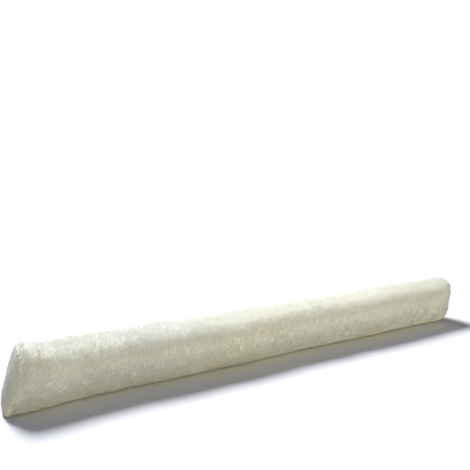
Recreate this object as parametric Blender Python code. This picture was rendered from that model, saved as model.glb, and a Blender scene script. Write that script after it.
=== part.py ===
"""A draught excluder: one long stuffed bolster in a short, dense plush cover.

The cover is a tube panel, closed by a round panel at each end. It lies along +X on its flattened
underside, with its front facing -Y and the origin on the floor below its middle. Metres, +Z up.
"""

import math

import bmesh
import bpy
from mathutils import Matrix, Vector, noise

OBJECT_NAME = "draught_excluder"

# Driving dimensions. They reach to the tips of the pile.
LENGTH = 0.989  # between the middles of the two ends
DEPTH = 0.103
HEIGHT = 0.101
FLOOR_SINK = 0.0025  # what the weight of the filling flattens underneath
CORNER_RADIUS = 0.011  # where the tube panel turns over to an end
END_CROWN = 0.005  # how far the filling domes an end panel
SEAM_DIP = 0.0015  # how deep an end seam draws the pile in
PARTING = 0.0003  # between two pieces of the cover

# The section is a superellipse: 2 is an ellipse, and more is squarer.
SQUARENESS_MIDDLE = 2.3
SQUARENESS_END = 3.4
END_REACH = 0.12  # how far the shape of an end runs into the bolster

# The filling is uneven. Each row is a place along the bolster, how much higher than HEIGHT the
# crown is there, and how much further than half of DEPTH the front reaches.
FILLING = (
    # place, crown, front
    (-0.50, -0.0035, -0.0070),
    (-0.44, -0.0020, -0.0020),
    (-0.37, -0.0002, -0.0040),
    (-0.31, -0.0022, -0.0040),
    (-0.24, 0.0000, -0.0010),
    (-0.18, -0.0010, 0.0005),
    (-0.10, -0.0010, 0.0030),
    (-0.03, 0.0000, -0.0015),
    (0.04, 0.0006, -0.0025),
    (0.10, 0.0014, 0.0000),
    (0.16, -0.0002, 0.0010),
    (0.23, 0.0012, 0.0040),
    (0.35, 0.0028, 0.0035),
    (0.43, -0.0024, 0.0005),
    (0.50, 0.0012, -0.0060),
)
UNEVENNESS = 0.0012  # of the surface between those places
LUMP_SIZE = 0.045

# Neither end stands upright: each leans this far towards +X from its foot to its crown.
LEFT_LEAN = 0.022
RIGHT_LEAN = 0.028

# How finely the solids are cut
STEPS_AROUND = 44
STEPS_ALONG = 88
STEPS_CORNER = 4  # in an eighth of a circle
STEPS_END = 4  # from an end's middle to its corner

RADIUS = 0.25 * (DEPTH + HEIGHT)  # of the straight, round bolster that is then laid down
HALF_CORNER = math.radians(45)  # of the corner's quarter belong to the end panel
SEAM_INSET = CORNER_RADIUS * (1.0 - math.cos(HALF_CORNER))
SEAM_PLACE = 0.5 * LENGTH - END_CROWN - SEAM_INSET
SEAM_RADIUS = RADIUS - SEAM_INSET

PLUSH_COLOUR = (0.74, 0.72, 0.63, 1.0)
END_PLUSH_COLOUR = (0.70, 0.68, 0.59, 1.0)
PLUSH_ROUGHNESS = 0.95


def eased(rows, place, column):
    """The value in a column of rows at a place, passing softly from one row to the next."""
    for low, high in zip(rows, rows[1:]):
        if place <= high[0]:
            share = max((place - low[0]) / (high[0] - low[0]), 0.0)
            share = share * share * (3.0 - 2.0 * share)
            return low[column] + (high[column] - low[column]) * share
    return rows[-1][column]


def nearness_to_end(place):
    """1 at an end of the bolster, falling softly to 0 at END_REACH from it."""
    share = min(max((0.5 * LENGTH - abs(place)) / END_REACH, 0.0), 1.0)
    return 1.0 - share * share * (3.0 - 2.0 * share)


def half_height(place):
    """Half of the section's height before the floor flattens it."""
    return 0.5 * (HEIGHT + FLOOR_SINK + eased(FILLING, place, 1))


def section_radius(place, angle):
    """From the section's centre to its outline. An angle of 0 is the back and 90 degrees the crown."""
    half_depth = 0.5 * DEPTH
    if math.cos(angle) < 0.0:
        half_depth += eased(FILLING, place, 2)
    squareness = SQUARENESS_MIDDLE + (SQUARENESS_END - SQUARENESS_MIDDLE) * nearness_to_end(place)
    across = abs(math.cos(angle) / half_depth) ** squareness
    upward = abs(math.sin(angle) / half_height(place)) ** squareness
    return (across + upward) ** (-1.0 / squareness)


def end_shift(place, height):
    """How far an end's lean moves a point along the bolster."""
    lean = LEFT_LEAN if place < 0.0 else RIGHT_LEAN
    return lean * (height / HEIGHT - 0.5) * nearness_to_end(place)


def laid_down(point):
    """Where a point of the straight, round bolster lies once it is filled and on the floor."""
    angle = math.atan2(point.z, point.y)
    share = math.hypot(point.y, point.z) / RADIUS
    lump = UNEVENNESS * noise.noise(point / LUMP_SIZE)
    radius = share * (section_radius(point.x, angle) + lump)
    middle = half_height(point.x) - FLOOR_SINK
    height = max(middle + radius * math.sin(angle), 0.0)
    return Vector((point.x + end_shift(point.x, height), radius * math.cos(angle), height))


def corner(start, end):
    """Points of the left corner's round, from one angle to another. Angles grow from the end to the tube."""
    points = []
    for step in range(STEPS_CORNER + 1):
        angle = start + (end - start) * step / STEPS_CORNER
        place = -0.5 * LENGTH + END_CROWN + CORNER_RADIUS * (1.0 - math.cos(angle))
        points.append((place, RADIUS - CORNER_RADIUS * (1.0 - math.sin(angle))))
    return points


def left_panel_profile():
    """An end panel in section: its domed face, half the corner's round, and its flat back."""
    face_radius = RADIUS - CORNER_RADIUS
    points = []
    for step in range(STEPS_END):
        share = step / STEPS_END
        points.append((-0.5 * LENGTH + END_CROWN * share * share, face_radius * share))
    points += corner(0.0, HALF_CORNER)
    back = -SEAM_PLACE - 0.5 * PARTING
    points[-1] = (back, SEAM_RADIUS - SEAM_DIP)
    for step in range(STEPS_END - 1, -1, -1):
        points.append((back, face_radius * step / STEPS_END))
    return points


def left_end_profile():
    """The left end of the tube panel and its filling, from the axis to the start of the tube."""
    face = -SEAM_PLACE + 0.5 * PARTING
    face_radius = RADIUS - CORNER_RADIUS
    points = [(face, face_radius * step / STEPS_END) for step in range(STEPS_END)]
    round_over = corner(HALF_CORNER, math.radians(90))
    round_over[0] = (face, SEAM_RADIUS - SEAM_DIP)
    return points + round_over


def bolster_profile():
    """The filled tube in section, from one end of its axis to the other."""
    left = left_end_profile()
    right = mirrored(reversed(left))
    start, stop = left[-1][0], right[0][0]
    tube = []
    for step in range(1, STEPS_ALONG):
        tube.append((start + (stop - start) * step / STEPS_ALONG, RADIUS))
    return left + tube + right


def mirrored(profile):
    """The same profile at the bolster's other end."""
    return [(-place, radius) for place, radius in profile]


def plush(name, colour):
    """Matt, undyed pile."""
    material = bpy.data.materials.new(name)
    material.use_nodes = True
    shader = material.node_tree.nodes["Principled BSDF"]
    shader.inputs["Base Color"].default_value = colour
    shader.inputs["Roughness"].default_value = PLUSH_ROUGHNESS
    shader.inputs["Metallic"].default_value = 0.0
    return material


def turned_piece(name, profile, material, collection):
    """A piece turned about the bolster's axis from its profile, then filled and laid down."""
    bm = bmesh.new()
    points = [bm.verts.new((place, 0.0, radius)) for place, radius in profile]
    lines = [bm.edges.new(pair) for pair in zip(points, points[1:])]
    bmesh.ops.spin(
        bm,
        geom=points + lines,
        cent=(0.0, 0.0, 0.0),
        axis=(1.0, 0.0, 0.0),
        angle=math.tau,
        steps=STEPS_AROUND,
        use_merge=True,
    )
    bmesh.ops.remove_doubles(bm, verts=bm.verts, dist=1e-6)
    for vert in bm.verts:
        vert.co = laid_down(vert.co)
    bmesh.ops.recalc_face_normals(bm, faces=bm.faces)
    mesh = bpy.data.meshes.new(name)
    bm.to_mesh(mesh)
    bm.free()
    mesh.shade_smooth()
    mesh.materials.append(material)
    piece = bpy.data.objects.new(name, mesh)
    collection.objects.link(piece)
    return piece


def centre(pieces):
    """Moves the pieces together, so that the origin is below the middle of their common box."""
    points = [vert.co for piece in pieces for vert in piece.data.vertices]
    places = [point.x for point in points]
    depths = [point.y for point in points]
    middle = Vector((min(places) + max(places), min(depths) + max(depths), 0.0)) * 0.5
    for piece in pieces:
        piece.data.transform(Matrix.Translation(-middle))


def clear_scene():
    """Removes what the file holds so far."""
    for old in list(bpy.data.objects):
        bpy.data.objects.remove(old, do_unlink=True)


def build():
    """The whole draught excluder, in a collection of its own."""
    clear_scene()
    collection = bpy.data.collections.new(OBJECT_NAME)
    bpy.context.scene.collection.children.link(collection)
    tube_plush = plush("plush", PLUSH_COLOUR)
    end_plush = plush("end_plush", END_PLUSH_COLOUR)
    panel = left_panel_profile()
    pieces = [
        turned_piece("bolster", bolster_profile(), tube_plush, collection),
        turned_piece("end_panel_left", panel, end_plush, collection),
        turned_piece("end_panel_right", mirrored(panel), end_plush, collection),
    ]
    centre(pieces)


build()
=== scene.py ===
# %% [markdown]
# # A draught excluder in lambswool plush
# The real object is a long, soft bolster that lies along the foot of a door and keeps the draught out. A
# tube of short, dense wool plush holds the filling, and a round panel of the same plush closes each end.
# This lesson dresses the plain solids of that bolster: first the camera and the light, then the filled
# cover, then the pile, which is real geometry and not only a pattern.

# %% Load the solids as a fixed frame
import math

import bmesh
import bpy
import numpy as np
from mathutils import Matrix, Vector, kdtree, noise


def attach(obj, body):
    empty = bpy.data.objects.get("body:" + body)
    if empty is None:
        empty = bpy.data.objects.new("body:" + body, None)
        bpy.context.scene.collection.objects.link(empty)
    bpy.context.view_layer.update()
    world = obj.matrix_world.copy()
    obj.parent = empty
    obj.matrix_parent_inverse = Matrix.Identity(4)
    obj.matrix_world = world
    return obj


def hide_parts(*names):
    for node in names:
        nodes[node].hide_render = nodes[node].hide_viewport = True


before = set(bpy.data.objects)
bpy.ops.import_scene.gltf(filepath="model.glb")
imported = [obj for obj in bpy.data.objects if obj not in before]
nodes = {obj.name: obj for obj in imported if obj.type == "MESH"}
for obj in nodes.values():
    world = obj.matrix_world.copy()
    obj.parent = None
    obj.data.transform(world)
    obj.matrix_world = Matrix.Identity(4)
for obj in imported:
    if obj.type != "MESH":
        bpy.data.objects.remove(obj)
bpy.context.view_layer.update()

# %% [markdown]
# ## Tools that every step shares
# Nearly everything here is either an operator, which acts on what is selected, or a list of numbers, which
# goes into a mesh in one go. So the first helpers select one object alone, apply its modifiers in order and
# read a mesh's points as an array. Modifiers are applied, because the pile is planted on the finished cover.

# %% Helpers for selecting, applying and reading
def select_only(*objects):
    """Selects these objects alone and makes the first one active."""
    bpy.ops.object.select_all(action="DESELECT")
    for piece in objects:
        piece.select_set(True)
    bpy.context.view_layer.objects.active = objects[0]


def apply_modifiers(piece):
    """Applies every modifier of a piece, from the first to the last."""
    select_only(piece)
    for modifier in list(piece.modifiers):
        bpy.ops.object.modifier_apply(modifier=modifier.name)


def points_of(mesh):
    """A mesh's points, one row each."""
    flat = np.empty(len(mesh.vertices) * 3)
    mesh.vertices.foreach_get("co", flat)
    return flat.reshape(-1, 3)


def put_points(mesh, points):
    """Moves a mesh's points to these rows."""
    mesh.vertices.foreach_set("co", np.asarray(points, float).ravel())
    mesh.update()


def normals_of(mesh):
    """A mesh's smooth point normals, one row each."""
    flat = np.empty(len(mesh.vertices) * 3)
    mesh.vertex_normals.foreach_get("vector", flat)
    return flat.reshape(-1, 3)


# %% [markdown]
# ## Camera
# The picture was taken from a little beyond the left end, about 38 cm above the surface, with the camera
# almost level. A level camera keeps upright lines upright, and the lens is shifted down instead of tilted,
# which is how rooms are photographed. So the camera here has a small tilt and a vertical shift as well.

# %% Camera
CAMERA_PLACE = (-0.543, -0.833, 0.381)
CAMERA_TURN = math.radians(28.6)  # from straight across the bolster towards its right end
CAMERA_TILT = math.radians(1.23)  # below level
CAMERA_LENS = 37.5
CAMERA_SENSOR = 36.0
CAMERA_SHIFT = -0.1265

camera_data = bpy.data.cameras.new("camera")
camera_data.lens = CAMERA_LENS
camera_data.sensor_width = CAMERA_SENSOR
camera_data.shift_y = CAMERA_SHIFT
camera = bpy.data.objects.new("camera", camera_data)
camera.location = CAMERA_PLACE
camera.rotation_euler = (math.radians(90.0) - CAMERA_TILT, 0.0, -CAMERA_TURN)
bpy.context.scene.collection.objects.link(camera)
bpy.context.scene.camera = camera
print("camera", [round(value, 3) for value in camera.location], "lens", camera_data.lens)

# %% [markdown]
# ## The main light, and the floor that it lights
# The bolster casts a soft grey shadow in front of it, so the main light stands behind it and high up. A lamp
# of the sun's kind lights the floor evenly however far it reaches, and its wide angle makes the shadow's
# edge soft. The same light would burn white wool out on its crown and back. Light linking keeps it to the
# floor: the lamp lights only what is in its collection, and the bolster still casts its shadow there.

# %% Main light and floor
KEY_AZIMUTH = math.radians(6.0)  # how far the light's way turns from -Y towards +X
KEY_HEIGHT = math.radians(50.5)
KEY_STRENGTH = 4.5
KEY_ANGLE = math.radians(20.0)
KEY_COLOUR = (0.955, 0.965, 1.0)
FLOOR_HALF = 60.0
FLOOR_COLOUR = (0.85, 0.85, 0.875, 1.0)
FLOOR_ROUGHNESS = 0.9
FLOOR_SHINE = 0.1


def aim(lamp, direction):
    """Turns a lamp so that its light travels in this direction."""
    lamp.rotation_euler = Vector(direction).to_track_quat("-Z", "Y").to_euler()


def make_key():
    """The main light, which lights the floor and casts the shadow."""
    data = bpy.data.lights.new("key", "SUN")
    data.energy = KEY_STRENGTH
    data.color = KEY_COLOUR
    data.angle = KEY_ANGLE
    key = bpy.data.objects.new("key", data)
    level = math.cos(KEY_HEIGHT)
    aim(key, (math.sin(KEY_AZIMUTH) * level, -math.cos(KEY_AZIMUTH) * level, -math.sin(KEY_HEIGHT)))
    bpy.context.scene.collection.objects.link(key)
    return key


def make_floor():
    """A wide, matt white floor."""
    bpy.ops.mesh.primitive_plane_add(size=2.0 * FLOOR_HALF, location=(0.0, 0.0, 0.0))
    floor = bpy.context.object
    floor.name = "floor"
    material = bpy.data.materials.new("floor_white")
    material.use_nodes = True
    shader = material.node_tree.nodes["Principled BSDF"]
    shader.inputs["Base Color"].default_value = FLOOR_COLOUR
    shader.inputs["Roughness"].default_value = FLOOR_ROUGHNESS
    shader.inputs["Specular IOR Level"].default_value = FLOOR_SHINE
    floor.data.materials.append(material)
    return floor


bpy.ops.object.select_all(action="DESELECT")
ground = bpy.data.collections.new("ground")
ground.objects.link(make_floor())
key_lamp = make_key()
key_lamp.light_linking.receiver_collection = ground

# %% [markdown]
# ## Lamps for the wool
# The wool is nearly white on the crown, and its front falls off softly to a grey foot. Three lamps of its
# own do that: a long, cool one over the crown and a little behind it, a wide, low, warm one in front, and a
# weak one at the left end. Lamps this large have no hard edge, so the small locks don't glitter. They are
# linked to the pieces at the end of the lesson, once there are any.

# %% Lamps for the wool
FILL_PLACE, FILL_TARGET = (0.12, -0.90, 0.27), (0.0, 0.0, 0.05)
FILL_WIDTH, FILL_TALL = 1.3, 0.54
FILL_POWER = 9.3
FILL_COLOUR = (1.0, 0.965, 0.86)
SIDE_PLACE, SIDE_TARGET = (-1.10, -0.25, 0.45), (-0.5, 0.0, 0.05)
SIDE_SIZE = 0.5
SIDE_POWER = 0.6
TOP_PLACE, TOP_TARGET = (-0.04, 0.145, 0.34), (-0.04, 0.0, 0.08)
TOP_LENGTH, TOP_WIDTH = 1.15, 0.10
TOP_POWER = 7.1
TOP_COLOUR = (0.80, 0.85, 1.0)


def area_lamp(name, place, target, power, colour, width, depth):
    """A rectangular lamp that isn't seen itself."""
    data = bpy.data.lights.new(name, "AREA")
    data.energy = power
    data.color = colour
    data.shape = "RECTANGLE"
    data.size, data.size_y = width, depth
    lamp = bpy.data.objects.new(name, data)
    lamp.location = place
    lamp.visible_camera = False
    aim(lamp, Vector(target) - Vector(place))
    bpy.context.scene.collection.objects.link(lamp)
    return lamp


wool_lamps = (
    area_lamp("fill", FILL_PLACE, FILL_TARGET, FILL_POWER, FILL_COLOUR, FILL_WIDTH, FILL_TALL),
    area_lamp("side", SIDE_PLACE, SIDE_TARGET, SIDE_POWER, FILL_COLOUR, SIDE_SIZE, SIDE_SIZE),
    area_lamp("top", TOP_PLACE, TOP_TARGET, TOP_POWER, TOP_COLOUR, TOP_LENGTH, TOP_WIDTH),
)
print("lamps for the wool:", [lamp.name for lamp in wool_lamps])

# %% [markdown]
# ## Sky
# A pale surround fills what the lamps leave dark. As strong as it looks in the picture it would flatten
# everything, so the camera sees a white sky and the scene is lit by a weaker, bluish one. The Standard view
# shows colours as they are, without a film's curve.

# %% Sky
SKY_LIGHT = 0.205
SKY_COLOUR = (0.74, 0.79, 1.0, 1.0)
SKY_SEEN = 1.0


def make_sky():
    """A white surround that lights the scene less than it shows."""
    world = bpy.data.worlds.new("sky")
    world.use_nodes = True
    links, kinds = world.node_tree.links, world.node_tree.nodes
    lit = kinds["Background"]
    lit.inputs["Color"].default_value = SKY_COLOUR
    lit.inputs["Strength"].default_value = SKY_LIGHT
    seen = kinds.new("ShaderNodeBackground")
    seen.inputs["Color"].default_value = (1.0, 1.0, 1.0, 1.0)
    seen.inputs["Strength"].default_value = SKY_SEEN
    ray = kinds.new("ShaderNodeLightPath")
    either = kinds.new("ShaderNodeMixShader")
    links.new(ray.outputs["Is Camera Ray"], either.inputs["Fac"])
    links.new(lit.outputs["Background"], either.inputs[1])
    links.new(seen.outputs["Background"], either.inputs[2])
    links.new(either.outputs["Shader"], kinds["World Output"].inputs["Surface"])
    bpy.context.scene.world = world


make_sky()
bpy.context.scene.view_settings.view_transform = "Standard"
print("the sky lights at", SKY_LIGHT, "and shows at", SKY_SEEN)

# %% [markdown]
# ## The filled cover, under its pile
# The solids reach to the tips of the pile, so the cloth itself lies a few millimetres inside them. Copies of
# the three solids are joined, remeshed into one skin, drawn in by the depth of the pile, and set down again
# just above the floor. One skin is easier to fill and to plant than three, and is cut at its seams later.

# %% The cover as one skin
PILE_DEPTH = 0.0034  # from the cloth to the tips
VOXEL = 0.0048
MERGE_DISTANCE = 1e-5
SEAM_OVERLAP = 0.001  # how far the copies of the end panels slide in, so that the skin has no gap
FLOOR_LIFT = 0.0012  # pressed pile under the cloth
FLOOR_REACH = 0.014  # up to this height the cloth feels the floor


def merged_copy(node, name, slide):
    """A copy of a solid as one connected mesh, slid along the bolster."""
    mesh = node.data.copy()
    mesh.transform(Matrix.Translation((slide, 0.0, 0.0)))
    bm = bmesh.new()
    bm.from_mesh(mesh)
    bmesh.ops.remove_doubles(bm, verts=bm.verts, dist=MERGE_DISTANCE)
    bm.to_mesh(mesh)
    bm.free()
    mesh.materials.clear()
    copy = bpy.data.objects.new(name, mesh)
    bpy.context.scene.collection.objects.link(copy)
    return copy


def rest_on_floor(points):
    """Lowers the drawn-in underside until it lies just above the floor again."""
    height = points[:, 2]
    share = np.clip((height - PILE_DEPTH) / (FLOOR_REACH - PILE_DEPTH), 0.0, 1.0)
    lowered = FLOOR_LIFT + (FLOOR_REACH - FLOOR_LIFT) * share
    points[:, 2] = np.where(height < FLOOR_REACH, lowered, height)
    return points


def skin_of_cover():
    """One closed skin round all three solids, drawn in by the depth of the pile."""
    skin = merged_copy(nodes["bolster"], "cover", 0.0)
    left = merged_copy(nodes["end_panel_left"], "left_copy", SEAM_OVERLAP)
    right = merged_copy(nodes["end_panel_right"], "right_copy", -SEAM_OVERLAP)
    select_only(skin, left, right)
    bpy.ops.object.join()
    remesh = skin.modifiers.new("remesh", "REMESH")
    remesh.mode = "VOXEL"
    remesh.voxel_size = VOXEL
    smooth = skin.modifiers.new("smooth", "SMOOTH")
    smooth.iterations = 1
    draw_in = skin.modifiers.new("draw_in", "DISPLACE")
    draw_in.mid_level = 0.0
    draw_in.strength = -PILE_DEPTH
    apply_modifiers(skin)
    put_points(skin.data, rest_on_floor(points_of(skin.data)))
    return skin


cover = skin_of_cover()
print("skin:", len(cover.data.polygons), "faces")

# %% [markdown]
# ## Filling it
# Blender's cloth simulation blows the skin up with a light pressure, as stuffing does, while the part that
# lies on the floor is held flat. The recipe is short: pressure on, gravity off, twenty frames. No point may
# move further than a cap, so the cloth fills out but keeps the outline of the real thing. Pushing points
# about by hand rarely looks filled. One subdivision follows.

# %% Fill the cover with the cloth simulation
STUFFING_PRESSURE = 4.0
STUFFING_FRAMES = 20
MOST_SWELL = 0.0015
HELD_HEIGHT = 0.004  # the cloth below this height is held where it lies
TINY = 1e-9  # keeps a division by a length from failing


def fill_with_pressure(skin):
    """Swells the skin as its stuffing does, and caps how far each point moves."""
    before = points_of(skin.data)
    held = skin.vertex_groups.new(name="held")
    held.add([int(i) for i in np.flatnonzero(before[:, 2] < HELD_HEIGHT)], 1.0, "REPLACE")
    cloth = skin.modifiers.new("filling", "CLOTH")
    cloth.settings.vertex_group_mass = "held"
    cloth.settings.use_pressure = True
    cloth.settings.uniform_pressure_force = STUFFING_PRESSURE
    cloth.settings.effector_weights.gravity = 0.0
    cloth.point_cache.frame_start = 1
    cloth.point_cache.frame_end = STUFFING_FRAMES
    for step in range(1, STUFFING_FRAMES + 1):
        bpy.context.scene.frame_set(step)
    apply_modifiers(skin)
    bpy.context.scene.frame_set(1)
    move = points_of(skin.data) - before
    length = np.linalg.norm(move, axis=1, keepdims=True)
    move *= np.minimum(1.0, MOST_SWELL / np.maximum(length, TINY))
    put_points(skin.data, before + move)
    skin.vertex_groups.clear()
    return length.max()


def subdivide_once(skin):
    """One level of subdivision, applied."""
    finer = skin.modifiers.new("finer", "SUBSURF")
    finer.levels = 1
    finer.render_levels = 1
    apply_modifiers(skin)


swell = fill_with_pressure(cover)
print("the filling moved the cloth by up to", round(1000 * swell, 1), "mm before the cap")
subdivide_once(cover)
print("cover:", len(cover.data.polygons), "faces")

# %% [markdown]
# ## Firm ends
# Where a round panel is sewn into the end of a tube, its seam allowance is a firm ring, and the filling
# pushes that ring outwards, most at the crown and the foot. So the rim of each end moves out along the
# bolster, and its push fades a little way into the tube. The crown also sinks a little at the right end.

# %% Push out the rims
LEFT_SEAM, RIGHT_SEAM = -0.484, 0.484  # halfway up, inside the pile
LEFT_LEAN, RIGHT_LEAN = 0.022, 0.028  # how far each end leans towards +X from foot to crown
CROWN_HEIGHT = 0.101
RIM_START, RIM_WIDTH = 0.026, 0.016  # from the axis to where the rim starts, and from there to its full push
RIM_REACH = 0.014  # how far the rim's push runs into the tube
ENDS = (
    # seam, lean, side, and how far its rim moves outwards: everywhere, and more at its foot and crown
    (LEFT_SEAM, LEFT_LEAN, -1.0, 0.0012, 0.0040, 0.0085),
    (RIGHT_SEAM, RIGHT_LEAN, 1.0, 0.0040, 0.0030, 0.0120),
)
FOOT_POWER, CROWN_POWER = 2, 6  # the push at the crown keeps closer to it than the push at the foot
DIP_PLACE, DIP_WIDTH, DIP = 0.485, 0.035, 0.0022  # of the crown at the right end


def beyond_seam(points, seam, lean):
    """How far each point lies beyond a seam, along +X. The seam leans as the end does."""
    return points[:, 0] - seam - lean * (points[:, 2] / CROWN_HEIGHT - 0.5)


def firm_ends(points):
    """Pushes the rim of each end outwards, where the sewn-in panel holds it."""
    from_axis = np.hypot(points[:, 1], points[:, 2] - 0.5 * CROWN_HEIGHT)
    rim = np.clip((from_axis - RIM_START) / RIM_WIDTH, 0.0, 1.0)
    up = points[:, 2] / (0.5 * CROWN_HEIGHT) - 1.0
    for seam, lean, side, everywhere, foot, crown in ENDS:
        outward = side * beyond_seam(points, seam, lean)
        near = np.clip(1.0 + outward / RIM_REACH, 0.0, 1.0)
        push = everywhere + np.where(up < 0.0, foot * up**FOOT_POWER, crown * up**CROWN_POWER)
        points[:, 0] += side * push * rim * near * near * (3.0 - 2.0 * near)
    return points


def dip_crown(points):
    """Lowers the upper half of the right end a little, most of all at its crown."""
    up = points[:, 2] / (0.5 * CROWN_HEIGHT) - 1.0
    dip = np.exp(-(((points[:, 0] - DIP_PLACE) / DIP_WIDTH) ** 2)) * np.clip(up, 0.0, 1.0)
    points[:, 2] -= DIP * dip
    return points


put_points(cover.data, dip_crown(firm_ends(points_of(cover.data))))
print("length of the cover:", round(float(np.ptp(points_of(cover.data)[:, 0])), 4))

# %% [markdown]
# ## Matted ground
# Under the locks, the short wool of real plush mats together into low ridges. They run round the bolster,
# and the locks that are planted on them rise and fall with them, so the pile isn't even from above either.
# Noise that is squeezed along the bolster gives such ridges.

# %% Low ridges of the ground
MAT_RISE = 0.0010  # how far the matted ground rises and falls
MAT_WIDTH, MAT_RUN = 0.0075, 0.020  # of its low ridges, along the bolster and round it
MAT_FADE = 0.01  # over this height the ridges start, above the part that is held flat


def matted(mesh):
    """The points of the cover, with the low ridges of the matted ground."""
    points, normals = points_of(mesh), normals_of(mesh)
    scale = np.array((MAT_WIDTH, MAT_RUN, MAT_RUN))
    rise = np.array([noise.noise(Vector(point / scale)) for point in points])
    above = np.clip((points[:, 2] - HELD_HEIGHT) / MAT_FADE, 0.0, 1.0)
    return points + normals * (MAT_RISE * rise * above)[:, None]


put_points(cover.data, matted(cover.data))
print("the ground rises and falls by up to", 1000 * MAT_RISE, "mm")

# %% [markdown]
# ## Plush
# Undyed lambswool is a warm white, a little yellower and darker at the roots, and never quite even: some
# patches are greyer and some creamier. More grey towards the left end and less towards the right is painted
# shade, for the cooler, dimmer light on the left. The pile carries two numbers on its points that the
# material reads: how far a point is from the root of its lock, and the tone of the whole lock. On the ground
# between the locks that tone is painted shade, and painted shade also makes the wool a little yellower and
# darker right at the floor. A soft sheen lifts the edges that turn away, and light glows through the locks,
# which together make wool look soft. The matted ground under them has no glow.

# %% Colours of the plush
TIP_COLOUR = (0.893, 0.855, 0.605, 1.0)
ROOT_COLOUR = (0.835, 0.80, 0.555, 1.0)
GREY_TIP = (0.843, 0.845, 0.685, 1.0)
PATCH_SCALE, PATCH_DETAIL = 9.0, 3.0
PATCH_RANGE = (0.35, 0.65)  # of the noise, from creamy to grey
# Painted shade: the wool greys towards the left end, for the cooler, dimmer light there.
LEFT_SHADE_PLACES = (0.1, -0.45)  # between these two places along the bolster
LEFT_SHADE_SHARES = (-0.25, 0.35)  # this much is added to the grey
# Painted shade at the foot: near the floor the wool turns a little yellower and darker.
FOOT_SHADE_TINT = (1.0, 0.975, 0.86, 1.0)  # what the colour is multiplied by right at the floor
FOOT_SHADE_HEIGHT = 0.035


def ranged(tree, source, start, stop, low=0.0, high=1.0):
    """A value that goes from low to high while its source goes from start to stop."""
    node = tree.nodes.new("ShaderNodeMapRange")
    for socket, value in (("From Min", start), ("From Max", stop), ("To Min", low), ("To Max", high)):
        node.inputs[socket].default_value = value
    tree.links.new(source, node.inputs["Value"])
    return node.outputs["Result"]


def mixed(tree, first, second, share, blend="MIX"):
    """Two colours mixed by a share. Each of the three is a constant or a node's output."""
    node = tree.nodes.new("ShaderNodeMix")
    node.data_type = "RGBA"
    node.blend_type = blend
    for socket, value in (("A", first), ("B", second), ("Factor", share)):
        if isinstance(value, bpy.types.NodeSocket):
            tree.links.new(value, node.inputs[socket])
        else:
            node.inputs[socket].default_value = value
    return node.outputs["Result"]


def number_on_points(tree, label):
    """The number of this name that a mesh carries on its points."""
    node = tree.nodes.new("ShaderNodeAttribute")
    node.attribute_name = label
    return node.outputs["Fac"]


def grey_patches_and_left_shade(tree, place, along):
    """Slow patches of grey, and painted shade: more grey towards the left end, for the cooler, dimmer light
    there.
    """
    patches = tree.nodes.new("ShaderNodeTexNoise")
    patches.inputs["Scale"].default_value = PATCH_SCALE
    patches.inputs["Detail"].default_value = PATCH_DETAIL
    tree.links.new(place, patches.inputs["Vector"])
    both = tree.nodes.new("ShaderNodeMath")
    both.operation = "ADD"
    both.use_clamp = True
    tree.links.new(ranged(tree, patches.outputs["Fac"], *PATCH_RANGE), both.inputs[0])
    tree.links.new(ranged(tree, along, *LEFT_SHADE_PLACES, *LEFT_SHADE_SHARES), both.inputs[1])
    return both.outputs["Value"]


def times(colour, tint):
    """A colour multiplied by a tint."""
    return tuple(value * share for value, share in zip(colour[:3], tint)) + (1.0,)


def wool_colour(tree, tint):
    """The colour of the wool: root to tip, patches of grey with painted shade towards the left end, the
    lock's tone (painted shade on the ground) and painted shade at the floor.
    """
    place = tree.nodes.new("ShaderNodeTexCoord").outputs["Object"]
    split = tree.nodes.new("ShaderNodeSeparateXYZ")
    tree.links.new(place, split.inputs["Vector"])
    # Patches of grey, with painted shade greying the left end.
    grey_and_left_shade = grey_patches_and_left_shade(tree, place, split.outputs["X"])
    tips = mixed(tree, times(TIP_COLOUR, tint), times(GREY_TIP, tint), grey_and_left_shade)
    lock = mixed(tree, times(ROOT_COLOUR, tint), tips, number_on_points(tree, "root_to_tip"))
    # The lock's own tone, and painted shade where it is the ground's.
    with_tone_and_ground_shade = mixed(tree, lock, number_on_points(tree, "tone_and_ground_shade"), 1.0, "MULTIPLY")
    # Painted shade at the foot, growing towards the floor.
    foot_shade_share = ranged(tree, split.outputs["Z"], FOOT_SHADE_HEIGHT, 0.0)
    return mixed(tree, with_tone_and_ground_shade, FOOT_SHADE_TINT, foot_shade_share, "MULTIPLY")


print("colour of a tip:", TIP_COLOUR[:3], "and of a root:", ROOT_COLOUR[:3])

# %% [markdown]
# ## Four kinds of plush
# The tube and the end panels are cut from the same cloth. The end panels' plush is tinted a little yellower
# as painted shade, for the olive shade that lies on the ends. Each has a pile, which glows, and a ground,
# which doesn't. One function makes all four from a tint and a glow.

# %% Plush materials
WOOL_ROUGHNESS = 0.95
WOOL_SHINE = 0.2
WOOL_SHEEN, WOOL_SHEEN_ROUGHNESS = 0.35, 0.5
WOOL_DEPTH = 0.002  # how deep light reaches into a lock
WOOL_REACH = (1.0, 0.95, 0.8)  # of red, green and blue, as shares of that depth
LOCK_GLOW, GROUND_GLOW = 0.5, 0.0
TUBE_TINT = (1.0, 1.0, 1.0)
# Painted shade: the end panels are tinted a little yellower, for the olive shade on the ends.
END_SHADE_TINT = (1.0, 0.99, 0.93)


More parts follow.
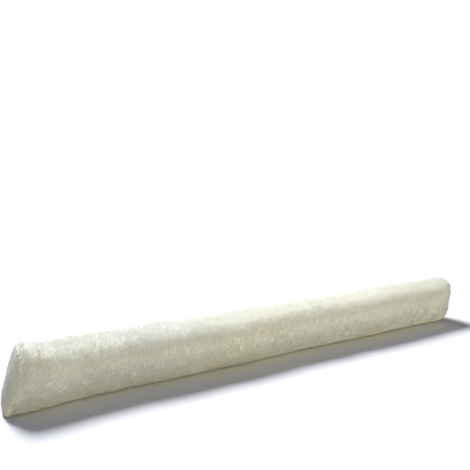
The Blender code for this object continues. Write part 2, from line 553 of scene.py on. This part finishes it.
def plush_material(name, tint, glow):
    """Matt wool with a soft sheen. Glow is the share of the light that passes through it."""
    material = bpy.data.materials.new(name)
    material.use_nodes = True
    tree = material.node_tree
    shader = tree.nodes["Principled BSDF"]
    shader.inputs["Roughness"].default_value = WOOL_ROUGHNESS
    shader.inputs["Specular IOR Level"].default_value = WOOL_SHINE
    shader.inputs["Sheen Weight"].default_value = WOOL_SHEEN
    shader.inputs["Sheen Roughness"].default_value = WOOL_SHEEN_ROUGHNESS
    shader.inputs["Subsurface Weight"].default_value = glow
    shader.inputs["Subsurface Radius"].default_value = WOOL_REACH
    shader.inputs["Subsurface Scale"].default_value = WOOL_DEPTH
    tree.links.new(wool_colour(tree, tint), shader.inputs["Base Color"])
    return material


tube_pile = plush_material("lambswool_pile", TUBE_TINT, LOCK_GLOW)
end_pile = plush_material("end_lambswool_pile", END_SHADE_TINT, LOCK_GLOW)
tube_ground = plush_material("matted_ground", TUBE_TINT, GROUND_GLOW)
end_ground = plush_material("end_matted_ground", END_SHADE_TINT, GROUND_GLOW)
print("materials:", tube_pile.name, end_pile.name, tube_ground.name, end_ground.name)

# %% [markdown]
# ## Planting the pile
# Each lock is a small tuft of wool that has matted together. There are more than a hundred thousand, so they
# are made as arrays of numbers: first the roots, then a direction for each, then all their points. The
# roots are spread evenly over the faces of the cover, with fewer on the underside, which is pressed flat.

# %% Roots of the locks
random = np.random.default_rng(20)
LOCKS_PER_METRE2 = 430000.0
PRESSED_HEIGHT, PRESSED_SHARE = 0.003, 0.4  # on the flattened underside only this share grows
NORMAL_ROUNDS = 6


def softened_normals(mesh):
    """Point normals averaged with their neighbours', so that the pile rolls softly over the seams."""
    normals = normals_of(mesh)
    ends = np.array([edge.vertices[:] for edge in mesh.edges])
    for _ in range(NORMAL_ROUNDS):
        total = normals.copy()
        for axis in range(3):
            for here, there in ((0, 1), (1, 0)):
                total[:, axis] += np.bincount(ends[:, here], normals[ends[:, there], axis], len(normals))
        normals = total / np.linalg.norm(total, axis=1, keepdims=True)
    return normals


def plant_roots(mesh):
    """Evenly spread roots on a mesh of four-sided faces: their points and smooth normals."""
    corners = np.array([face.vertices[:] for face in mesh.polygons if len(face.vertices) == 4])
    points, normals = points_of(mesh), softened_normals(mesh)
    quads = points[corners]
    across, along = quads[:, 2] - quads[:, 0], quads[:, 3] - quads[:, 1]
    area = 0.5 * np.linalg.norm(np.cross(across, along), axis=1)
    pressed = quads[:, :, 2].max(axis=1) < PRESSED_HEIGHT
    wanted = area * LOCKS_PER_METRE2 * np.where(pressed, PRESSED_SHARE, 1.0)
    count = np.floor(wanted + random.random(len(wanted))).astype(int)
    face = np.repeat(np.arange(len(count)), count)
    u, v = random.random((2, len(face), 1))
    weights = [(1 - u) * (1 - v), u * (1 - v), u * v, (1 - u) * v]
    root = sum(weight * quads[face, k] for k, weight in enumerate(weights))
    normal = sum(weight * normals[corners[face, k]] for k, weight in enumerate(weights))
    return root, normal / np.linalg.norm(normal, axis=1, keepdims=True)


roots, root_normals = plant_roots(cover.data)
print("locks:", len(roots))

# %% [markdown]
# ## Combing it
# The pile is combed up the front, over the crown and down the back, and towards the right near the left
# end. On the end panels it lies downwards. Handling has turned it into whorls and ruffles, and no lock lies
# quite as the next one does. Smooth noise gives the whorls and ruffles, and a random turn gives the rest.

# %% Lay of the pile
LAY_ALONG, LEFT_LAY_ALONG = 0.10, 0.75  # how far the lay turns towards +X, in the middle and at the left
LEFT_LAY_START, LEFT_LAY_WIDTH = -0.30, 0.12  # where the lay starts to turn, and over what length
END_LAY = np.array((0.0, -0.35, -1.0))  # on the end panels
WHORL, WHORL_SIZE, WHORL_OFFSET = math.radians(44.0), 0.032, 3.0  # the turn is at the noise's full swing
RUFFLE, RUFFLE_SIZE, RUFFLE_OFFSET = math.radians(24.0), 0.010, 11.0
LOCK_JITTER = math.radians(20.0)
NOISE_SHIFT = (1.0, 0.7, -1.0)


def noise_at(points, size, offset):
    """Smooth noise from about -1 to 1 at each point. Another offset gives another pattern."""
    shift = offset * Vector(NOISE_SHIFT)
    return np.array([noise.noise(Vector(point) / size + shift) for point in points])


def unit(rows):
    """Rows made one long."""
    return rows / np.maximum(np.linalg.norm(rows, axis=1, keepdims=True), TINY)


def turned(rows, axis, angle):
    """Each row turned about its own axis, which it stands square to."""
    angle = angle[:, None]
    return rows * np.cos(angle) + np.cross(axis, rows) * np.sin(angle)


def combed(points, normal):
    """The direction in which each lock lies, along the surface."""
    leftness = np.clip((LEFT_LAY_START - points[:, :1]) / LEFT_LAY_WIDTH, 0.0, 1.0)
    axis = np.array((1.0, 0.0, 0.0))
    endness = normal[:, :1] ** 2
    along = LAY_ALONG * (1.0 - leftness) + LEFT_LAY_ALONG * leftness
    lay = (1.0 - endness) * (np.cross(normal, axis) + along * axis) + endness * END_LAY
    flat = unit(lay - normal * np.sum(lay * normal, axis=1, keepdims=True))
    angle = WHORL * noise_at(points, WHORL_SIZE, WHORL_OFFSET)
    angle += RUFFLE * noise_at(points, RUFFLE_SIZE, RUFFLE_OFFSET)
    angle += random.normal(0.0, LOCK_JITTER, len(points))
    return turned(flat, normal, angle)


lay = combed(roots, root_normals)
print("mean lay:", [round(float(value), 2) for value in lay.mean(axis=0)])

# %% [markdown]
# ## Tufts
# Neighbouring locks draw together at their tips into small tufts, as damp wool does. A coarser set of
# points is chosen from the roots, and each lock belongs to the nearest of them. A tree of the chosen points
# finds it quickly.

# %% Tufts that the locks belong to
TUFT_SIZE = 0.010
TUFT_PULL = 0.25  # how far a tip is drawn to the middle of its tuft


def tuft_centres(points):
    """For each root, the place of the tuft that it belongs to."""
    chosen = random.permutation(len(points))[: int(len(points) / (LOCKS_PER_METRE2 * TUFT_SIZE**2))]
    tree = kdtree.KDTree(len(chosen))
    for index in chosen:
        tree.insert(points[index], int(index))
    tree.balance()
    return np.array([tree.find(point)[1] for point in points])


tuft = tuft_centres(roots)
print("tufts:", len(set(tuft.tolist())))

# %% [markdown]
# ## The shape of a lock
# A lock is a bent spindle: it rises from a pointed root to a knee, where it is widest, and lies down from
# there towards its tip. Three sides are enough for something a millimetre wide. Each lock is rolled about
# itself by a random angle, because locks that all turn the same side to a lamp make pale bands.

# %% Points of every lock
LOCK_LENGTH = 0.0095
KNEE = 0.42  # how far along a lock its three-cornered knee is
KNEE_WIDTH = 0.00075  # half of the width there
LOCK_FLATNESS = 0.35
ROOT_DEPTH = 0.0008
STAND, LIE = math.radians(58.0), math.radians(86.0)  # from upright, at the root and at the tip
CURL = 0.45
SIDES = 3
ROOT_POINT, TIP_POINT = 0, SIDES + 1  # the points between them are the corners of the knee


def lock_lines(root, normal, lay, tuft_root, length):
    """Three points along each lock: its root, the middle of its knee and its tip."""
    upright = math.cos(STAND) * normal + math.sin(STAND) * lay
    sideways = np.cross(normal, lay)
    curl = random.normal(0.0, CURL, (len(root), 1))
    lying = math.cos(LIE) * normal + math.sin(LIE) * unit(lay + curl * sideways)
    start = root - ROOT_DEPTH * normal
    bend = start + 0.5 * length * upright
    tip = bend + 0.5 * length * lying
    middle = tuft_root + (tip - root)
    tip = tip + TUFT_PULL * (middle - tip)
    knee = (1 - KNEE) ** 2 * start + 2 * KNEE * (1 - KNEE) * bend + KNEE**2 * tip
    return np.stack((start, knee, tip), axis=1)


def lock_points(lines, normal, lay, girth):
    """Five points for each lock: the root, three round the knee, and the tip."""
    sideways = unit(np.cross(normal, lay))
    upward = unit(np.cross(sideways, unit(lines[:, 2] - lines[:, 0])))
    points = np.repeat(lines, (1, SIDES, 1), axis=1)
    roll = random.uniform(0.0, math.tau / SIDES, (len(lines), 1))
    for corner in range(SIDES):
        angle = roll + math.tau * corner / SIDES
        offset = np.cos(angle) * sideways + LOCK_FLATNESS * np.sin(angle) * upward
        points[:, 1 + corner] += KNEE_WIDTH * girth * offset
    return points


print("a lock is", 1000 * LOCK_LENGTH, "mm long and about", 2000 * KNEE_WIDTH, "mm wide")

# %% [markdown]
# ## Shading, faces and map of a lock
# Light passes from lock to lock in real wool, so a lock isn't as dark on its far side as a solid thing
# would be. Its shading normals are halfway between its own and those of the cloth under it. The map has a
# square of its own for every lock, and on it the three sides lie next to each other.

# %% Shading normals, faces and map
SOFTNESS = 0.5  # how much of a lock's shading follows the cover under it
MAP_ROOT, MAP_TIP = (0.5, 0.04), (0.5, 0.96)
MAP_LEFT, MAP_WIDTH = 0.06, 0.88


def soft_normals(points, lines, normal):
    """Shading normals between those of the lock and that of the cover."""
    own = unit(points - np.repeat(lines, (1, SIDES, 1), axis=1))
    own[:, ROOT_POINT] = own[:, TIP_POINT] = normal
    return unit(SOFTNESS * normal[:, None, :] + (1.0 - SOFTNESS) * own)


def lock_faces():
    """The faces of one lock: three from the root to the knee, and three from the knee to the tip."""
    pairs = [(1 + corner, 1 + (corner + 1) % SIDES) for corner in range(SIDES)]
    lower = [(ROOT_POINT, here, other) for here, other in pairs]
    return lower + [(other, here, TIP_POINT) for here, other in pairs]


def lock_map():
    """Where the corners of one lock's faces lie on its square of the map, from 0 to 1."""
    knee = [(MAP_LEFT + MAP_WIDTH * corner / SIDES, KNEE) for corner in range(SIDES + 1)]
    spots = []
    for corner in range(SIDES):
        spots += [MAP_ROOT, knee[corner], knee[corner + 1]]
    for corner in range(SIDES):
        spots += [knee[corner + 1], knee[corner], MAP_TIP]
    return np.array(spots)


print("faces of a lock:", len(lock_faces()))

# %% [markdown]
# ## One mesh of many locks
# The points go straight into a mesh, with the two numbers that the plush reads. A hair system would need
# its own renderer settings and wouldn't leave Blender, while a joined mesh is the same everywhere.

# %% Locks as one mesh
POINTS_IN_LOCK = TIP_POINT + 1


def join_locks(name, points):
    """The bare mesh of many locks, from five points each."""
    count = len(points)
    corners = np.array(lock_faces()).ravel()
    every = (corners[None, :] + POINTS_IN_LOCK * np.arange(count)[:, None]).ravel()
    mesh = bpy.data.meshes.new(name)
    mesh.vertices.add(count * POINTS_IN_LOCK)
    mesh.vertices.foreach_set("co", points.ravel())
    mesh.loops.add(len(every))
    mesh.loops.foreach_set("vertex_index", every)
    mesh.polygons.add(len(every) // 3)
    mesh.polygons.foreach_set("loop_start", np.arange(0, len(every), 3))
    mesh.update(calc_edges=True)
    mesh.validate()
    mesh.shade_smooth()
    return mesh


def pile_mesh(name, points, shading, tone):
    """One mesh of many locks, with its shading, the two numbers for the plush and the map."""
    count = len(points)
    mesh = join_locks(name, points)
    mesh.normals_split_custom_set_from_vertices(shading.reshape(-1, 3))
    along = (0.0, *[KNEE] * SIDES, 1.0)
    numbers = {"root_to_tip": np.tile(along, count), "tone_and_ground_shade": np.repeat(tone, POINTS_IN_LOCK)}
    for label, values in numbers.items():
        attribute = mesh.attributes.new(label, "FLOAT", "POINT")
        attribute.data.foreach_set("value", values.astype(np.float32))
    side = math.ceil(math.sqrt(count))
    index = np.arange(count)
    square = np.stack((index % side, index // side), axis=1)[:, None, :]
    spots = (square + lock_map()[None, :, :]) / side
    layer = mesh.uv_layers.new(name="OFBake")
    layer.data.foreach_set("uv", spots.reshape(-1))
    return mesh


print("points of a lock:", POINTS_IN_LOCK)

# %% [markdown]
# ## Growing the pile
# Every lock has its own length, girth and tone, and they are a little shorter towards the right. None may
# sink into the floor. The pile grows in seven pieces: one for each end panel, and five along the tube, which
# keeps each piece light enough to open and edit.

# %% Grow the locks
LENGTHS, GIRTHS = (0.75, 1.2), (0.75, 1.25)  # the least and the most, as shares
SHORTER_START, SHORTER_WIDTH, SHORTER = -0.2, 0.6, 0.12  # locks are shorter towards the right by this share
LEAST_HEIGHT = 0.0004
PRESSED_RISE = 0.02  # share of its distance from the floor that a pressed point keeps above that
TONE, TONE_SPREAD = 0.98, 0.018
TUBE_STRETCHES = (-1.0, -0.29, -0.097, 0.097, 0.29, 1.0)


def grow(name, chosen, material):
    """The locks whose roots are chosen, as one piece."""
    root, normal = roots[chosen], root_normals[chosen]
    count = len(root)
    rightness = np.clip((root[:, :1] - SHORTER_START) / SHORTER_WIDTH, 0.0, 1.0)
    length = LOCK_LENGTH * random.uniform(*LENGTHS, (count, 1)) * (1.0 - SHORTER * rightness)
    lines = lock_lines(root, normal, lay[chosen], roots[tuft[chosen]], length)
    girth = random.uniform(*GIRTHS, (count, 1))
    points = lock_points(lines, normal, lay[chosen], girth)
    low = points[..., 2] < LEAST_HEIGHT
    points[..., 2][low] = LEAST_HEIGHT + PRESSED_RISE * np.abs(points[..., 2][low])
    tone = random.normal(TONE, TONE_SPREAD, count)
    shading = soft_normals(points, lines, normal)
    piece = bpy.data.objects.new(name, pile_mesh(name, points, shading, tone))
    piece.data.materials.append(material)
    bpy.context.scene.collection.objects.link(piece)
    print(name, count, "locks", len(piece.data.polygons), "triangles")
    return piece


is_left = beyond_seam(roots, LEFT_SEAM, LEFT_LEAN) < 0.0
is_right = beyond_seam(roots, RIGHT_SEAM, RIGHT_LEAN) > 0.0
is_tube = ~(is_left | is_right)
tube_piles = []
for number, (start, stop) in enumerate(zip(TUBE_STRETCHES, TUBE_STRETCHES[1:])):
    here = np.flatnonzero(is_tube & (roots[:, 0] >= start) & (roots[:, 0] < stop))
    tube_piles.append(grow(f"tube_pile_{number + 1}", here, tube_pile))
left_pile = grow("left_end_pile", np.flatnonzero(is_left), end_pile)
right_pile = grow("right_end_pile", np.flatnonzero(is_right), end_pile)

# %% [markdown]
# ## Cutting the cover at its end seams
# The maker sews three pieces of cloth together, so the skin is cut into three as well, each closed where it
# was cut. Bisect cuts a mesh along a plane, which leans here as the seam does. The ground shows between the
# locks, where real plush is in its own shade, so its tone is darker than theirs.

# %% Three pieces of cloth
GROUND_ALONG = 0.6  # its colour is between those of the roots and the tips
# Painted shade: the ground between the locks is darker than they are.
GROUND_SHADE_TONE = 0.79
HALF_SEAM = 0.00015  # half of the parting between two pieces of cloth


def cut_piece(name, cuts, ground_plush):
    """A copy of the cover with what lies beyond each cut removed. A cut is a seam, its lean and a side."""
    piece = cover.copy()
    piece.data = cover.data.copy()
    piece.name = name
    bpy.context.scene.collection.objects.link(piece)
    for seam, lean, side in cuts:
        select_only(piece)
        bpy.ops.object.mode_set(mode="EDIT")
        bpy.ops.mesh.select_all(action="SELECT")
        bpy.ops.mesh.bisect(
            plane_co=(seam, 0.0, 0.5 * CROWN_HEIGHT),
            plane_no=(side, 0.0, -side * lean / CROWN_HEIGHT),
            use_fill=True,
            clear_outer=True,
        )
        bpy.ops.object.mode_set(mode="OBJECT")
    piece.data.shade_smooth()
    for label, value in (("root_to_tip", GROUND_ALONG), ("tone_and_ground_shade", GROUND_SHADE_TONE)):
        attribute = piece.data.attributes.new(label, "FLOAT", "POINT")
        attribute.data.foreach_set("value", np.full(len(piece.data.vertices), value, np.float32))
    piece.data.materials.clear()
    piece.data.materials.append(ground_plush)
    print(name, len(piece.data.polygons), "faces")
    return piece


tube_cuts = ((LEFT_SEAM + HALF_SEAM, LEFT_LEAN, -1.0), (RIGHT_SEAM - HALF_SEAM, RIGHT_LEAN, 1.0))
tube_cloth = cut_piece("tube_cloth", tube_cuts, tube_ground)
left_cloth = cut_piece("left_end_cloth", ((LEFT_SEAM - HALF_SEAM, LEFT_LEAN, 1.0),), end_ground)
right_cloth = cut_piece("right_end_cloth", ((RIGHT_SEAM + HALF_SEAM, RIGHT_LEAN, -1.0),), end_ground)
bpy.data.objects.remove(cover, do_unlink=True)

# %% [markdown]
# ## What each piece stands for
# Every piece rides on the one body. The three cloths replace the three solids and are filled, and the pile
# goes with them. Now that the pieces are there, the three lamps for the wool are linked to them alone.

cloths = (tube_cloth, left_cloth, right_cloth)
all_pieces = (*cloths, *tube_piles, left_pile, right_pile)
for piece in all_pieces:
    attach(piece, "root")
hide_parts("bolster")
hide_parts("end_panel_left")
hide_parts("end_panel_right")
pieces = bpy.data.collections.new("pieces")
for piece in all_pieces:
    pieces.objects.link(piece)
for lamp in wool_lamps:
    lamp.light_linking.receiver_collection = pieces
